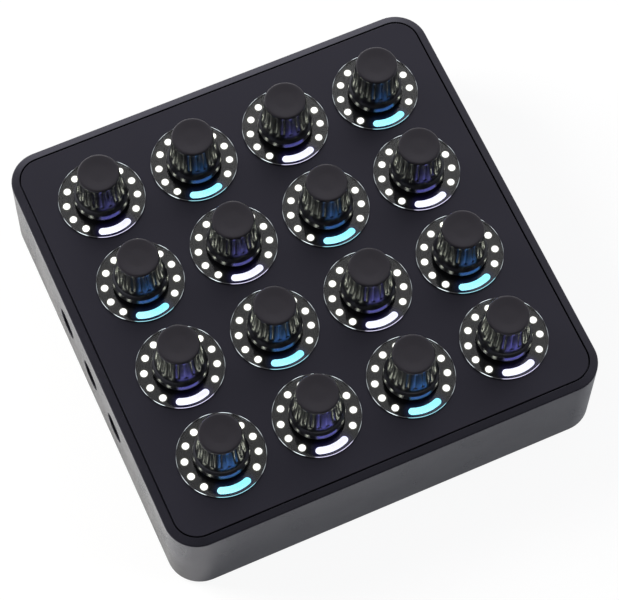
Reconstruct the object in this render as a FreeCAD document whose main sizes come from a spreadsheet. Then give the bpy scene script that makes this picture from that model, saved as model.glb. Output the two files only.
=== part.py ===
import FreeCAD, Part
import Sketcher
import math
import os

# MIDI controller: a square box with sixteen push encoders in a four by four grid.
# Millimetres. +Z is up, the front is at -Y, and the origin is under the middle of the box, at the feet.

doc = FreeCAD.newDocument("midi_controller")
sheet = doc.addObject("Spreadsheet::Sheet", "Sizes")

# Driving sizes
SIZES = (
    ("encoder_pitch", 36.0),
    ("cut_margin", 1.0),
    ("case_width", 163.7),
    ("case_corner", 12.0),
    ("case_bottom", 2.0),
    ("case_height", 37.5),
    ("wall_thickness", 3.0),
    ("rim_run", 3.4),
    ("rim_drop", 0.9),
    ("rim_edge_bevel", 0.5),
    ("plate_width", 155.2),
    ("plate_corner", 7.7),
    ("plate_thickness", 2.0),
    ("plate_gap", 0.6),
    ("deck_thickness", 2.0),
    ("deck_opening", 148.0),
    ("deck_corner", 14.0),
    ("collar_hole", 4.7),
    ("window_radius", 15.7),
    ("window_thickness", 0.9),
    ("light_ring_radius", 12.88),
    ("light_step", 26.22),
    ("white_led_size", 1.6),
    ("white_led_height", 0.8),
    ("colour_led_size", 5.0),
    ("colour_led_height", 1.2),
    ("board_thickness", 1.6),
    ("board_cut", 10.0),
    ("led_board_width", 145.0),
    ("led_board_bottom", 34.6),
    ("main_board_bottom", 25.0),
    ("cover_width", 156.8),
    ("cover_corner", 8.2),
    ("cover_thickness", 3.0),
    ("post_offset", 72.0),
    ("post_radius", 4.0),
    ("pilot_radius", 1.5),
    ("pilot_depth", 9.0),
    ("encoder_body_width", 12.4),
    ("encoder_body_height", 6.5),
    ("encoder_collar_radius", 3.9),
    ("shaft_radius", 3.0),
    ("shaft_clearance", 0.08),
    ("shaft_in_knob", 13.5),
    ("plunger_width", 4.2),
    ("plunger_height", 2.0),
    ("press_travel", 1.5),
    ("press_margin", 0.1),
    ("knob_gap", 3.0),
    ("skirt_radius", 9.75),
    ("skirt_rim_height", 1.9),
    ("skirt_flare_height", 3.5),
    ("grip_lower_radius", 7.95),
    ("grip_upper_radius", 7.3),
    ("grip_height", 11.5),
    ("cap_top_radius", 6.5),
    ("cap_height", 0.7),
    ("button_radius", 5.5),
    ("button_hole_radius", 5.75),
    ("button_spacing", 22.0),
    ("button_level", 20.5),
    ("button_recess", 0.8),
    ("button_bevel", 0.4),
    ("button_flange", 12.4),
    ("button_flange_thickness", 1.0),
    ("button_flange_gap", 0.1),
    ("button_stem_width", 4.0),
    ("button_stem_length", 1.0),
    ("switch_gap", 0.6),
    ("switch_width", 6.0),
    ("switch_height", 3.4),
    ("switch_pin_radius", 1.75),
    ("switch_pin_height", 0.7),
    ("side_board_length", 60.0),
    ("side_board_top", 29.0),
    ("socket_width", 12.0),
    ("socket_height", 11.0),
    ("socket_length", 16.0),
    ("socket_wall", 1.7),
    ("socket_bevel", 1.6),
    ("socket_mouth_depth", 9.0),
    ("socket_gap", 0.3),
    ("tongue_width", 5.6),
    ("tongue_height", 3.2),
    ("tongue_length", 8.0),
    ("foot_radius", 6.2),
    ("foot_lower_radius", 5.6),
    ("foot_offset", 62.0),
    ("screw_head_radius", 2.8),
    ("screw_head_height", 1.5),
    ("screw_shank_radius", 1.5),
    ("screw_clearance", 0.1),
    ("screw_length", 9.0),
    ("standoff_radius", 3.2),
    ("standoff_screw_reach", 5.0),
    ("chip_width", 12.0),
    ("chip_height", 1.4),
    ("chip_offset", 18.0),
    ("driver_width", 7.5),
    ("driver_length", 10.0),
    ("driver_height", 2.3),
    ("header_length", 20.0),
    ("header_width", 5.0),
)
for row, (alias, value) in enumerate(SIZES, start=1):
    sheet.set("A%d" % row, alias)
    sheet.set("B%d" % row, str(value))
    sheet.setAlias("B%d" % row, alias)
doc.recompute()

# Counts, and the sides of what is drawn with flat facets
GRID = 4
LIGHTS_PER_RING = 11
SQUARE = 4
HEX = 6
RIDGES = 18
SHAFT_SIDES = 6
HEAD_SIDES = 8
POST_SIDES = 8
BUTTON_SIDES = 16
WINDOW_SIDES = 18
FOOT_SIDES = 12

# Lengths nearer than this are taken as equal
NEAR = 0.01

# Levels and offsets that several pieces share, as formulas over the driving sizes
CASE_TOP = "(Sizes.case_bottom + Sizes.case_height)"
PLATE_BOTTOM = "(Sizes.case_bottom + Sizes.case_height - Sizes.plate_thickness)"
DECK_BOTTOM = "(Sizes.case_bottom + Sizes.case_height - Sizes.plate_thickness - Sizes.deck_thickness)"
COVER_TOP = "(Sizes.case_bottom + Sizes.cover_thickness)"
MAIN_BOARD_TOP = "(Sizes.main_board_bottom + Sizes.board_thickness)"
LED_BOARD_TOP = "(Sizes.led_board_bottom + Sizes.board_thickness)"
CASE_HALF = "(Sizes.case_width / 2)"
CAVITY_HALF = "(Sizes.case_width / 2 - Sizes.wall_thickness)"
PLUNGER_BOTTOM = "(Sizes.main_board_bottom + Sizes.board_thickness + Sizes.press_travel + Sizes.press_margin)"
KNOB_BOTTOM = "(Sizes.case_bottom + Sizes.case_height + Sizes.knob_gap)"
BORE_APOTHEM = "(Sizes.shaft_radius + Sizes.shaft_clearance)"
FLANGE_INNER = "(%s - Sizes.button_flange_gap - Sizes.button_flange_thickness)" % CAVITY_HALF
SWITCH_TIP = "(%s - Sizes.button_stem_length - Sizes.switch_gap)" % FLANGE_INNER
SWITCH_BACK = "(%s - Sizes.switch_pin_height - Sizes.switch_height)" % SWITCH_TIP
SOCKET_LEVEL = "(Sizes.main_board_bottom - Sizes.socket_height / 2)"


def bind(item, **formulas):
    for prop, formula in formulas.items():
        item.setExpression(prop, formula)


def place(item, x="0", y="0", z="0"):
    item.setExpression("Placement.Base.x", x)
    item.setExpression("Placement.Base.y", y)
    item.setExpression("Placement.Base.z", z)


def grid_place(column, row):
    """Offsets of one encoder from the middle, counted from the front left corner."""
    middle = (GRID - 1) / 2
    return "Sizes.encoder_pitch * %.1f" % (column - middle), "Sizes.encoder_pitch * %.1f" % (row - middle)


def prism(name, sides, radius, height, x="0", y="0", z="0", turn=0.0):
    """Upright prism with flat sides, its radius taken to the corners."""
    item = doc.addObject("Part::Prism", name)
    item.Polygon = sides
    item.Placement.Rotation = FreeCAD.Rotation(FreeCAD.Vector(0, 0, 1), turn)
    bind(item, Circumradius=radius, Height=height)
    place(item, x, y, z)
    return item


def block(name, length, width, height, x="0", y="0", z="0"):
    """Box centred on x and y, standing on z."""
    item = doc.addObject("Part::Box", name)
    bind(item, Length=length, Width=width, Height=height)
    place(item, "%s - %s / 2" % (x, length), "%s - %s / 2" % (y, width), z)
    return item


def cut(name, base, tool):
    item = doc.addObject("Part::Cut", name)
    item.Base = base
    item.Tool = tool
    return item


def fuse(name, pieces):
    item = doc.addObject("Part::MultiFuse", name)
    item.Shapes = pieces
    item.Refine = True
    return item


def group(name, pieces):
    item = doc.addObject("Part::Compound", name)
    item.Links = pieces
    return item


def on_grid(name, piece):
    """One copy of a piece under each encoder, as a group of separate solids."""
    copies = []
    for row in range(GRID):
        for column in range(GRID):
            copy = group("%s_%d_%d" % (name, column, row), [piece])
            x, y = grid_place(column, row)
            place(copy, x, y)
            copies.append(copy)
    return group(name, copies)


def four_corners(name, piece, offset):
    """One copy of a piece at each corner of a square about the middle."""
    copies = []
    for index, (side_x, side_y) in enumerate(((-1, -1), (1, -1), (1, 1), (-1, 1)), start=1):
        copy = group("%s_%d" % (name, index), [piece])
        place(copy, "%d * %s" % (side_x, offset), "%d * %s" % (side_y, offset))
        copies.append(copy)
    return group(name, copies)


def plane(body, role):
    return [item for item in body.Origin.OriginFeatures if item.Role == role][0]


def new_sketch(body, name, role="XY_Plane", level="0"):
    sketch = body.newObject("Sketcher::SketchObject", name)
    sketch.AttachmentSupport = [(plane(body, role), "")]
    sketch.MapMode = "FlatFace"
    sketch.setExpression("AttachmentOffset.Base.z", level)
    return sketch


def named_size(sketch, constraint, name, formula):
    sketch.renameConstraint(sketch.addConstraint(constraint), name)
    sketch.setExpression("Constraints." + name, formula)


def rounded_square(sketch, width, corner):
    """Closed outline of a square about the origin, with four rounded corners."""
    half, radius = 50.0, 5.0
    inner = half - radius
    point = FreeCAD.Vector
    centres = ((inner, -inner), (inner, inner), (-inner, inner), (-inner, -inner))
    runs = (
        ((-inner, -half), (inner, -half)),
        ((half, -inner), (half, inner)),
        ((inner, half), (-inner, half)),
        ((-half, inner), (-half, -inner)),
    )
    edges = []
    for quarter in range(4):
        start, end = runs[quarter]
        edges.append(sketch.addGeometry(Part.LineSegment(point(*start, 0), point(*end, 0)), False))
        circle = Part.Circle(point(*centres[quarter], 0), point(0, 0, 1), radius)
        first = (quarter - 1) * math.pi / 2
        edges.append(sketch.addGeometry(Part.ArcOfCircle(circle, first, first + math.pi / 2), False))
    for index in range(8):
        sketch.addConstraint(Sketcher.Constraint("Tangent", edges[index], 2, edges[(index + 1) % 8], 1))
    for index in (0, 4):
        sketch.addConstraint(Sketcher.Constraint("Horizontal", edges[index]))
        sketch.addConstraint(Sketcher.Constraint("Vertical", edges[index + 2]))
    for index in (1, 3, 5):
        sketch.addConstraint(Sketcher.Constraint("Equal", edges[index], edges[index + 2]))
    sketch.addConstraint(Sketcher.Constraint("Symmetric", edges[1], 3, edges[5], 3, -1, 1))
    across = Sketcher.Constraint("DistanceX", edges[6], 1, edges[2], 1, 2 * half)
    along = Sketcher.Constraint("DistanceY", edges[0], 1, edges[4], 1, 2 * half)
    named_size(sketch, across, "across", width)
    named_size(sketch, along, "along", width)
    named_size(sketch, Sketcher.Constraint("Radius", edges[1], radius), "corner", corner)


def rectangle(sketch, width, depth, middle_x="0", middle_y="0"):
    """Closed outline of a rectangle, placed by its lower left corner."""
    point = FreeCAD.Vector
    corners = ((-5, -4), (5, -4), (5, 4), (-5, 4))
    edges = []
    for index, start in enumerate(corners):
        end = corners[(index + 1) % 4]
        edges.append(sketch.addGeometry(Part.LineSegment(point(*start, 0), point(*end, 0)), False))
    for index in range(4):
        sketch.addConstraint(Sketcher.Constraint("Coincident", edges[index], 2, edges[(index + 1) % 4], 1))
    for index in (0, 2):
        sketch.addConstraint(Sketcher.Constraint("Horizontal", edges[index]))
        sketch.addConstraint(Sketcher.Constraint("Vertical", edges[index + 1]))
    named_size(sketch, Sketcher.Constraint("DistanceX", edges[0], 1, edges[0], 2, 10.0), "across", width)
    named_size(sketch, Sketcher.Constraint("DistanceY", edges[1], 1, edges[1], 2, 8.0), "along", depth)
    left = Sketcher.Constraint("DistanceX", -1, 1, edges[0], 1, -5.0)
    named_size(sketch, left, "left", "%s - %s / 2" % (middle_x, width))
    low = Sketcher.Constraint("DistanceY", -1, 1, edges[0], 1, -4.0)
    named_size(sketch, low, "low", "%s - %s / 2" % (middle_y, depth))


def pad(body, name, sketch, length):
    item = body.newObject("PartDesign::Pad", name)
    item.Profile = sketch
    bind(item, Length=length)
    doc.recompute()
    return item


def pocket(body, name, sketch, length, reverse=False):
    """Removes material below the sketch, or above it when reversed, and checks that it did."""
    before = body.Shape.Volume
    item = body.newObject("PartDesign::Pocket", name)
    item.Profile = sketch
    item.Reversed = reverse
    bind(item, Length=length)
    doc.recompute()
    if body.Shape.Volume > before - NEAR:
        raise RuntimeError("the pocket %s removes nothing" % name)
    return item


def edges_where(shape, test):
    return ["Edge%d" % (index + 1) for index, edge in enumerate(shape.Edges) if test(edge)]


def prism_hole_grid(body, name, radius, level, depth):
    """One six-sided hole at each encoder, cut by a two-way pattern."""
    hole = body.newObject("PartDesign::SubtractivePrism", name)
    hole.Polygon = HEX
    hole.AttachmentSupport = [(plane(body, "XY_Plane"), "")]
    hole.MapMode = "FlatFace"
    x, y = grid_place(0, 0)
    bind(hole, Circumradius=radius, Height=depth)
    hole.setExpression("AttachmentOffset.Base.x", x)
    hole.setExpression("AttachmentOffset.Base.y", y)
    hole.setExpression("AttachmentOffset.Base.z", level)
    doc.recompute()
    grid = body.newObject("PartDesign::MultiTransform", name + "_grid")
    grid.Originals = [hole]
    steps = []
    for role in ("X_Axis", "Y_Axis"):
        step = body.newObject("PartDesign::LinearPattern", name + "_" + role)
        step.Direction = (plane(body, role), [""])
        step.Occurrences = GRID
        step.Mode = "Spacing"
        bind(step, Offset="Sizes.encoder_pitch")
        steps.append(step)
    grid.Transformations = steps
    body.Tip = grid
    doc.recompute()


def tapered_prism(name, sides, lower, upper, height, z, turn=0.0):
    """Flat-sided frustum: a prism whose sides lean in from its foot."""
    body = doc.addObject("PartDesign::Body", name)
    solid = body.newObject("PartDesign::AdditivePrism", name + "_prism")
    solid.Polygon = sides
    bind(solid, Circumradius=lower, Height=height)
    doc.recompute()
    lean = body.newObject("PartDesign::Draft", name + "_lean")
    faces = enumerate(solid.Shape.Faces, start=1)
    upright = ["Face%d" % index for index, face in faces if abs(face.normalAt(0, 0).z) < NEAR]
    lean.Base = (solid, upright)
    lean.NeutralPlane = (plane(body, "XY_Plane"), [""])
    lean.setExpression("Angle", "atan((%s - %s) * cos(180 / %d) / %s)" % (lower, upper, sides, height))
    body.Tip = lean
    body.Placement.Rotation = FreeCAD.Rotation(FreeCAD.Vector(0, 0, 1), turn)
    place(body, z=z)
    doc.recompute()
    return body


def finish_node(item, label):
    """Names a sub-part; every sub-part is gathered here for the export."""
    item.Label = label
    nodes[label] = item


def board(name, width, level):
    """Square sheet with its corners cut off."""
    body = doc.addObject("PartDesign::Body", name)
    sketch = new_sketch(body, name + "_outline", level=level)
    rectangle(sketch, width, width)
    laminate = pad(body, name + "_sheet", sketch, "Sizes.board_thickness")
    corners = body.newObject("PartDesign::Chamfer", name + "_corners")
    upright = edges_where(laminate.Shape, lambda edge: edge.BoundBox.ZLength > NEAR)
    corners.Base = (laminate, upright)
    bind(corners, Size="Sizes.board_cut")
    doc.recompute()
    return body


def screw(name, length):
    """Flat round head below the cover, and a shank of this length above it."""
    head = prism(name + "_head", HEAD_SIDES, "Sizes.screw_head_radius", "Sizes.screw_head_height",
                 z="Sizes.case_bottom - Sizes.screw_head_height")
    shank = prism(name + "_shank", HEX, "Sizes.screw_shank_radius", length, z="Sizes.case_bottom")
    return fuse(name, [head, shank])


def bevel_upper_corners(body, name, half_width):
    """Bevels the two upper edges that run in along the socket at this distance from its middle."""
    base = body.Tip
    middle = sheet.get("main_board_bottom") - sheet.get("socket_height") / 2
    item = body.newObject("PartDesign::Chamfer", name)
    upper = edges_where(base.Shape, lambda edge: edge.BoundBox.YLength > NEAR
                        and edge.BoundBox.ZMin > middle + sheet.get("tongue_height")
                        and abs(abs(edge.BoundBox.XMin) - half_width) < NEAR)
    item.Base = (base, upper)
    bind(item, Size="Sizes.socket_bevel")
    doc.recompute()


nodes = {}

# Case shell: the four walls, the rim round the face plate and the deck that carries the plate
case = doc.addObject("PartDesign::Body", "case_shell")
outline = new_sketch(case, "case_outline", level="Sizes.case_bottom")
rounded_square(outline, "Sizes.case_width", "Sizes.case_corner")
walls = pad(case, "case_block", outline, "Sizes.case_height")

top_level = sheet.get("case_bottom") + sheet.get("case_height")
slope = case.newObject("PartDesign::Chamfer", "rim_slope")
top_loop = edges_where(walls.Shape, lambda edge: abs(edge.BoundBox.ZMin - top_level) < NEAR)
slope.Base = (walls, top_loop)
slope.ChamferType = "Two distances"
bind(slope, Size="Sizes.rim_drop", Size2="Sizes.rim_run")
doc.recompute()
if abs(slope.Shape.BoundBox.XLength - sheet.get("case_width")) > NEAR:
    raise RuntimeError("the rim slope changed the width")
widest = [v.Point.z for v in slope.Shape.Vertexes if abs(v.Point.x) > sheet.get("case_width") / 2 - NEAR]
if abs(max(widest) - (top_level - sheet.get("rim_drop"))) > NEAR:
    slope.FlipDirection = True
    doc.recompute()

edge_level = top_level - sheet.get("rim_drop")
rim_edge = case.newObject("PartDesign::Chamfer", "rim_edge")
edge_loop = edges_where(slope.Shape, lambda edge: abs(edge.BoundBox.ZMin - edge_level) < NEAR
                        and abs(edge.BoundBox.ZMax - edge_level) < NEAR)
rim_edge.Base = (slope, edge_loop)
bind(rim_edge, Size="Sizes.rim_edge_bevel")
doc.recompute()

seat = new_sketch(case, "plate_seat_outline", level=CASE_TOP)
rounded_square(seat, "(Sizes.plate_width + 2 * Sizes.plate_gap)", "(Sizes.plate_corner + Sizes.plate_gap)")
pocket(case, "plate_seat", seat, "Sizes.plate_thickness")

opening = new_sketch(case, "deck_outline", level=PLATE_BOTTOM)
rounded_square(opening, "Sizes.deck_opening", "Sizes.deck_corner")
pocket(case, "deck_opening_cut", opening, "Sizes.deck_thickness")

cavity = new_sketch(case, "cavity_outline", level=DECK_BOTTOM)
rounded_square(cavity, "2 * " + CAVITY_HALF, "(Sizes.case_corner - Sizes.wall_thickness)")
pocket(case, "cavity", cavity, DECK_BOTTOM + " - Sizes.case_bottom")

socket_hole = new_sketch(case, "socket_hole_outline", "XZ_Plane", "-" + CAVITY_HALF + " + Sizes.cut_margin")
rectangle(socket_hole, "(Sizes.socket_width + 2 * Sizes.socket_gap)",
          "(Sizes.socket_height + 2 * Sizes.socket_gap)", middle_y=SOCKET_LEVEL)
pocket(case, "socket_hole", socket_hole, "Sizes.wall_thickness + 2 * Sizes.cut_margin")

post = prism("corner_post", POST_SIDES, "Sizes.post_radius", DECK_BOTTOM + " - " + COVER_TOP, z=COVER_TOP)
pilot = prism("pilot_hole", HEX, "Sizes.pilot_radius", "Sizes.pilot_depth", z=COVER_TOP)
pilots = four_corners("pilot_holes", pilot, "Sizes.post_offset")
with_posts = fuse("case_with_posts", [case, four_corners("corner_posts", post, "Sizes.post_offset")])
button_rows = ["%d * Sizes.button_spacing" % step for step in (-1, 0, 1)]
side_holes = []
for index, row in enumerate(button_rows, start=1):
    hole = prism("side_hole_%d" % index, BUTTON_SIDES, "Sizes.button_hole_radius",
                 "Sizes.case_width + 2 * Sizes.cut_margin")
    hole.Placement.Rotation = FreeCAD.Rotation(FreeCAD.Vector(0, 1, 0), 90)
    place(hole, "-%s - Sizes.cut_margin" % CASE_HALF, row, "Sizes.button_level")
    side_holes.append(hole)
finish_node(cut("drilled_case", with_posts, group("case_holes", [pilots] + side_holes)), "case_shell")

# Face plate: a sheet with one small hole for each encoder's collar
face = doc.addObject("PartDesign::Body", "faceplate")
face_outline = new_sketch(face, "plate_outline", level=PLATE_BOTTOM)
rounded_square(face_outline, "Sizes.plate_width", "Sizes.plate_corner")
pad(face, "plate_sheet", face_outline, "Sizes.plate_thickness")
prism_hole_grid(face, "plate_hole", "Sizes.collar_hole", PLATE_BOTTOM + " - Sizes.cut_margin",
                "Sizes.plate_thickness + 2 * Sizes.cut_margin")
finish_node(face, "faceplate")

# Ring windows: the clear discs that stand on the face plate, one round each encoder
window_disc = prism("window_disc", WINDOW_SIDES, "Sizes.window_radius", "Sizes.window_thickness", z=CASE_TOP)
window_hole = prism("window_hole", HEX, "Sizes.collar_hole", "Sizes.window_thickness + 2 * Sizes.cut_margin",
                    z=CASE_TOP + " - Sizes.cut_margin")
finish_node(on_grid("windows", cut("window", window_disc, window_hole)), "ring_windows")

# Circuit boards: cut-corner squares; the upper one has a hole for each collar
led_board = board("led_board", "Sizes.led_board_width", "Sizes.led_board_bottom")
prism_hole_grid(led_board, "led_board_hole", "Sizes.collar_hole", "Sizes.led_board_bottom - Sizes.cut_margin",
                "Sizes.board_thickness + 2 * Sizes.cut_margin")
finish_node(led_board, "led_board")
finish_node(board("main_board", "2 * (%s - Sizes.board_thickness)" % SWITCH_BACK, "Sizes.main_board_bottom"),
            "main_board")

# Lights: eleven white packages round each encoder, and one colour package at its front
lights = []
for step in range(LIGHTS_PER_RING):
    clock = "Sizes.light_step * %d" % (step - LIGHTS_PER_RING // 2)
    angle = sheet.get("light_step") * (step - LIGHTS_PER_RING // 2)
    lights.append(prism("white_led_%02d" % (step + 1), SQUARE, "Sizes.white_led_size / sqrt(2)",
                        "Sizes.white_led_height", x="Sizes.light_ring_radius * sin(%s)" % clock,
                        y="Sizes.light_ring_radius * cos(%s)" % clock, z=LED_BOARD_TOP,
                        turn=180 / SQUARE - angle))
finish_node(on_grid("white_rings", group("white_ring", lights)), "white_leds")
colour_led = block("colour_led", "Sizes.colour_led_size", "Sizes.colour_led_size", "Sizes.colour_led_height",
                   y="-Sizes.light_ring_radius", z=LED_BOARD_TOP)
finish_node(on_grid("colour_group", colour_led), "colour_leds")

# Encoder housings: a square body on the main board, with the collar that guides the shaft
encoder_body = block("encoder_body", "Sizes.encoder_body_width", "Sizes.encoder_body_width",
                     "Sizes.encoder_body_height", z=MAIN_BOARD_TOP)
encoder_collar = prism("encoder_collar", SHAFT_SIDES, "Sizes.encoder_collar_radius",
                       CASE_TOP + " + Sizes.window_thickness - " + MAIN_BOARD_TOP, z=MAIN_BOARD_TOP)
encoder_bore = prism("encoder_bore", SHAFT_SIDES, BORE_APOTHEM + " / cos(180 / %d)" % SHAFT_SIDES,
                     "Sizes.case_height", z="Sizes.main_board_bottom")
housing = cut("encoder_housing", fuse("encoder_solid", [encoder_body, encoder_collar]), encoder_bore)
finish_node(on_grid("housings", housing), "encoder_housings")

# Plungers: what a pressed shaft pushes down inside its housing
plunger = block("plunger", "Sizes.plunger_width", "Sizes.plunger_width", "Sizes.plunger_height",
                z=PLUNGER_BOTTOM)

# Knobs: a flared skirt, a grip with eighteen flutes and a smooth cap, pressed on the encoder's shaft.
# Three tapered six-sided prisms, each turned by a third of a side, make the grip's eighteen ridges.
rim = prism("skirt_rim", RIDGES, "Sizes.skirt_radius", "Sizes.skirt_rim_height", z=KNOB_BOTTOM)
FLARE_BOTTOM = KNOB_BOTTOM + " + Sizes.skirt_rim_height"
GRIP_BOTTOM = FLARE_BOTTOM + " + Sizes.skirt_flare_height"
CAP_BOTTOM = GRIP_BOTTOM + " + Sizes.grip_height"
flare = tapered_prism("skirt_flare", RIDGES, "Sizes.skirt_radius", "Sizes.grip_lower_radius",
                      "Sizes.skirt_flare_height", FLARE_BOTTOM)
ridges = []
for index in range(RIDGES // HEX):
    ridges.append(tapered_prism("grip_ridges_%d" % (index + 1), HEX, "Sizes.grip_lower_radius",
                                "Sizes.grip_upper_radius", "Sizes.grip_height", GRIP_BOTTOM,
                                turn=360 / RIDGES * index))
cap = tapered_prism("knob_cap", RIDGES, "Sizes.grip_upper_radius", "Sizes.cap_top_radius",
                    "Sizes.cap_height", CAP_BOTTOM)
knob_solid = fuse("knob_solid", [rim, flare] + ridges + [cap])
knob_bore = prism("knob_bore", SHAFT_SIDES, "Sizes.shaft_radius", "Sizes.shaft_in_knob", z=KNOB_BOTTOM)
knob_shell = cut("knob_shell", knob_solid, knob_bore)
SHAFT_BOTTOM = PLUNGER_BOTTOM + " + Sizes.plunger_height"
shaft = prism("encoder_shaft", SHAFT_SIDES, "Sizes.shaft_radius",
              KNOB_BOTTOM + " + Sizes.shaft_in_knob - " + PLUNGER_BOTTOM + " - Sizes.plunger_height",
              z=SHAFT_BOTTOM)

# Sixteen of each, numbered along the rows from the back left corner
for number in range(1, GRID * GRID + 1):
    column = (number - 1) % GRID
    row = GRID - 1 - (number - 1) // GRID
    x, y = grid_place(column, row)
    knob = group("knob_%02d" % number, [knob_shell, shaft])
    place(knob, x, y)
    finish_node(knob, "knob_%02d" % number)
    pushed = group("plunger_%02d" % number, [plunger])
    place(pushed, x, y)
    finish_node(pushed, "plunger_%02d" % number)

# Side buttons: a round cap with a bevel, a flange behind the wall and a short stem; drawn outward along +Z
STEM_BOTTOM = "-Sizes.button_stem_length"
CAP_LENGTH = "(Sizes.wall_thickness - Sizes.button_recess + Sizes.button_flange_gap - Sizes.button_bevel)"
button_cap = prism("button_cap", BUTTON_SIDES, "Sizes.button_radius", CAP_LENGTH,
                   z="Sizes.button_flange_thickness")
button_edge = tapered_prism("button_edge", BUTTON_SIDES, "Sizes.button_radius",
                            "(Sizes.button_radius - Sizes.button_bevel)", "Sizes.button_bevel",
                            "Sizes.button_flange_thickness + " + CAP_LENGTH)
button_flange = block("button_flange", "Sizes.button_flange", "Sizes.button_flange",
                      "Sizes.button_flange_thickness")
button_stem = block("button_stem", "Sizes.button_stem_width", "Sizes.button_stem_width",
                    "Sizes.button_stem_length", z=STEM_BOTTOM)
button = fuse("side_button", [button_cap, button_edge, button_flange, button_stem])
switch_body = block("switch_body", "Sizes.switch_width", "Sizes.switch_width", "Sizes.switch_height")
switch_pin = prism("switch_pin", SHAFT_SIDES, "Sizes.switch_pin_radius", "Sizes.switch_pin_height",
                   z="Sizes.switch_height")
side_switch = fuse("side_switch", [switch_body, switch_pin])
switches = []
for side, sign, tilt in (("left", -1, -90), ("right", 1, 90)):
    outward = FreeCAD.Rotation(FreeCAD.Vector(0, 1, 0), tilt)
    for number, row in enumerate(reversed(button_rows), start=1):
        label = "side_button_%s_%d" % (side, number)
        pressed = group(label, [button])
        pressed.Placement.Rotation = outward
        place(pressed, "%d * %s" % (sign, FLANGE_INNER), row, "Sizes.button_level")
        finish_node(pressed, label)
        switch = group("side_switch_%s_%d" % (side, number), [side_switch])
        switch.Placement.Rotation = outward
        place(switch, "%d * %s" % (sign, SWITCH_BACK), row, "Sizes.button_level")
        switches.append(switch)
    upright = block("side_board_" + side, "Sizes.board_thickness", "Sizes.side_board_length",
                    "Sizes.side_board_top - " + COVER_TOP,
                    x="%d * (%s - Sizes.board_thickness / 2)" % (sign, SWITCH_BACK), z=COVER_TOP)
    finish_node(upright, "side_board_" + side)
finish_node(group("switch_group", switches), "side_switches")

# Bottom cover: a plate let in between the walls
cover = doc.addObject("PartDesign::Body", "bottom_cover")
cover_outline = new_sketch(cover, "cover_outline", level="Sizes.case_bottom")
rounded_square(cover_outline, "Sizes.cover_width", "Sizes.cover_corner")
pad(cover, "cover_sheet", cover_outline, "Sizes.cover_thickness")
cover_hole = prism("cover_hole", HEX, "Sizes.screw_shank_radius + Sizes.screw_clearance",
                   "Sizes.cover_thickness + 2 * Sizes.cut_margin", z="Sizes.case_bottom - Sizes.cut_margin")
cover_holes = group("cover_holes", [four_corners("post_screw_holes", cover_hole, "Sizes.post_offset"),
                                    four_corners("standoff_screw_holes", cover_hole, "Sizes.encoder_pitch")])
finish_node(cut("drilled_cover", cover, cover_holes), "bottom_cover")

# Screws: four into the corner posts and four shorter ones into the standoffs
corner_screw = screw("corner_screw", "Sizes.screw_length")
standoff_screw = screw("standoff_screw", "Sizes.cover_thickness + Sizes.standoff_screw_reach")
corner_screws = four_corners("corner_screws", corner_screw, "Sizes.post_offset")
standoff_screws = four_corners("standoff_screws", standoff_screw, "Sizes.encoder_pitch")
finish_node(group("screw_group", [corner_screws, standoff_screws]), "cover_screws")

# Standoffs: three sets of four, one above the other, from the cover up to the face plate
for name, low, high in (("tall_standoffs", COVER_TOP, "Sizes.main_board_bottom"),
                        ("middle_standoffs", MAIN_BOARD_TOP, "Sizes.led_board_bottom"),
                        ("short_standoffs", LED_BOARD_TOP, PLATE_BOTTOM)):
    standoff = prism(name + "_one", HEX, "Sizes.standoff_radius", high + " - " + low, z=low)
    if name == "tall_standoffs":
        thread = prism("standoff_thread", HEX, "Sizes.screw_shank_radius", "Sizes.standoff_screw_reach",
                       z=COVER_TOP)
        standoff = cut("threaded_standoff", standoff, thread)
    finish_node(four_corners(name + "_group", standoff, "Sizes.encoder_pitch"), name)

# Rubber feet: four, each a little narrower at the floor
foot = tapered_prism("foot_solid", FOOT_SIDES, "Sizes.foot_radius", "Sizes.foot_lower_radius",
                     "Sizes.case_bottom", "0")
foot.Placement.Rotation = FreeCAD.Rotation(FreeCAD.Vector(1, 0, 0), 180)
place(foot, z="Sizes.case_bottom")
finish_node(four_corners("feet_group", foot, "Sizes.foot_offset"), "rubber_feet")

# USB socket: a shell with a bevelled mouth under the main board, and the insert with its tongue
SOCKET_FRONT = "-" + CASE_HALF
INSERT_FRONT = SOCKET_FRONT + " + Sizes.socket_mouth_depth"
MOUTH_WIDTH = "(Sizes.socket_width - 2 * Sizes.socket_wall)"
MOUTH_HEIGHT = "(Sizes.socket_height - 2 * Sizes.socket_wall)"
mouth_half = sheet.get("socket_width") / 2 - sheet.get("socket_wall")

usb = doc.addObject("PartDesign::Body", "usb_shell")
usb_outline = new_sketch(usb, "usb_outline", "XZ_Plane", SOCKET_FRONT)
rectangle(usb_outline, "Sizes.socket_width", "Sizes.socket_height", middle_y=SOCKET_LEVEL)
pad(usb, "usb_block", usb_outline, "Sizes.socket_length")
usb_mouth = new_sketch(usb, "usb_mouth_outline", "XZ_Plane", SOCKET_FRONT)
rectangle(usb_mouth, MOUTH_WIDTH, MOUTH_HEIGHT, middle_y=SOCKET_LEVEL)
pocket(usb, "usb_mouth", usb_mouth, "Sizes.socket_length", reverse=True)
bevel_upper_corners(usb, "usb_mouth_bevel", mouth_half)
finish_node(usb, "usb_shell")

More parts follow.
